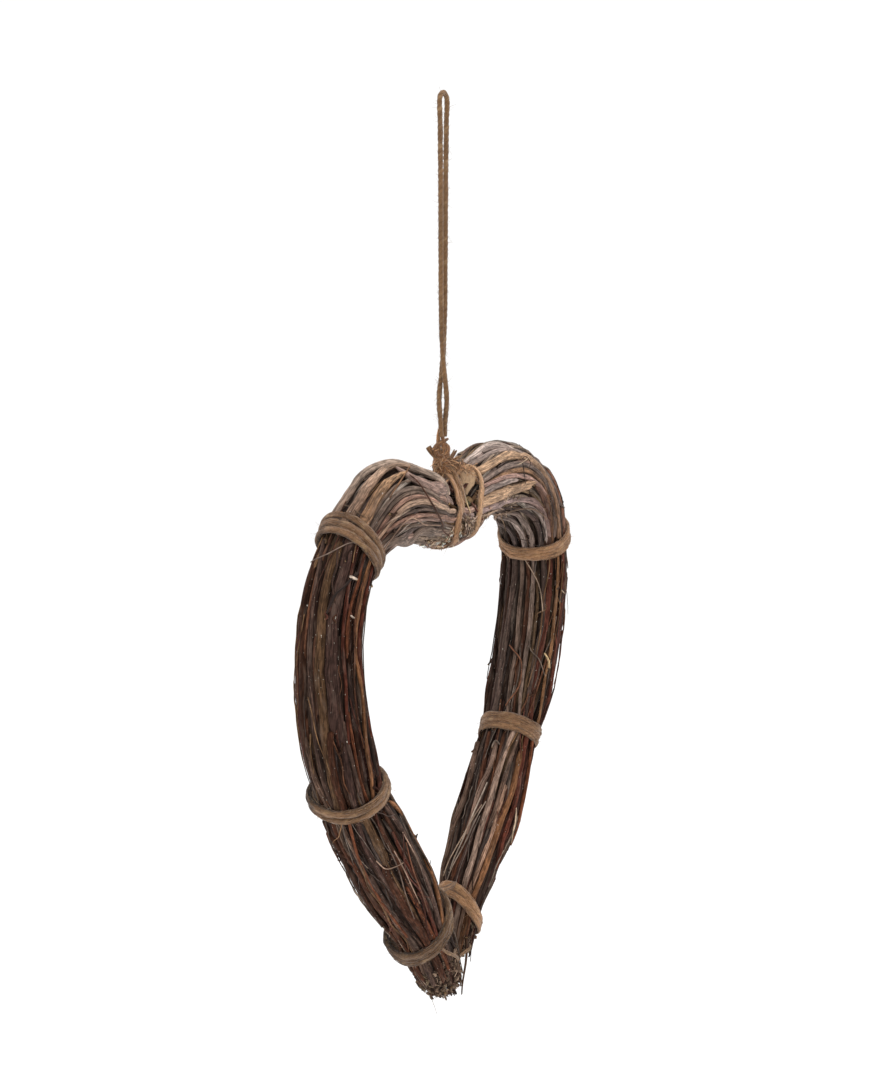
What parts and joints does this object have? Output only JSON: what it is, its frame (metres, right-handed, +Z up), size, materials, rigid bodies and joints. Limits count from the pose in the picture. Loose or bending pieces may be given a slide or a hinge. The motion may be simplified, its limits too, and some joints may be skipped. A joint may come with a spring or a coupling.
{
  "type": "hanging heart ornament",
  "caption": "Open heart of bundled brushwood twigs bound with jute twine, hung from the wall by a knotted loop of the same twine.",
  "frame": {"origin": "inner top of the hanging loop, where it bears on a nail", "axes": "+Z up; the heart lies in the XZ plane with its front facing -Y, and the wall is behind it at +Y"},
  "size_m": [0.3426, 0.054, 0.5926],
  "materials": {
    "fine_bark": "dark, dry brown bark of fine twigs",
    "twig_bark": "dry grey-brown bark with lengthwise grain, paler at the lobes",
    "jute_twine": "matt, fuzzy natural jute",
    "split_wood": "bare split ochre wood"
  },
  "bodies": {
    "root": {"left_fine_twigs": "fine_bark", "right_fine_twigs": "fine_bark", "left_twig_01": "twig_bark", "left_twig_02": "twig_bark", "left_twig_03": "twig_bark", "left_twig_04": "twig_bark", "left_twig_05": "twig_bark", "left_twig_06": "twig_bark", "left_twig_07": "twig_bark", "left_twig_08": "twig_bark", "left_twig_09": "twig_bark", "left_twig_10": "twig_bark", "left_twig_11": "twig_bark", "left_twig_12": "twig_bark", "left_twig_13": "twig_bark", "right_twig_01": "twig_bark", "right_twig_02": "twig_bark", "right_twig_03": "twig_bark", "right_twig_04": "twig_bark", "right_twig_05": "twig_bark", "right_twig_06": "twig_bark", "right_twig_07": "twig_bark", "right_twig_08": "twig_bark", "right_twig_09": "twig_bark", "right_twig_10": "twig_bark", "right_twig_11": "twig_bark", "right_twig_12": "twig_bark", "right_twig_13": "twig_bark", "left_upper_binding": "jute_twine", "left_lower_binding": "jute_twine", "right_upper_binding": "jute_twine", "right_lower_binding": "jute_twine", "left_notch_lashing": "jute_twine", "right_notch_lashing": "jute_twine", "left_tip_lashing": "jute_twine", "right_tip_lashing": "jute_twine", "tip_lashing_cross": "jute_twine", "hanger_knot": "jute_twine", "hanging_loop": "jute_twine", "split_twig": "split_wood"}
  },
  "joints": []
}
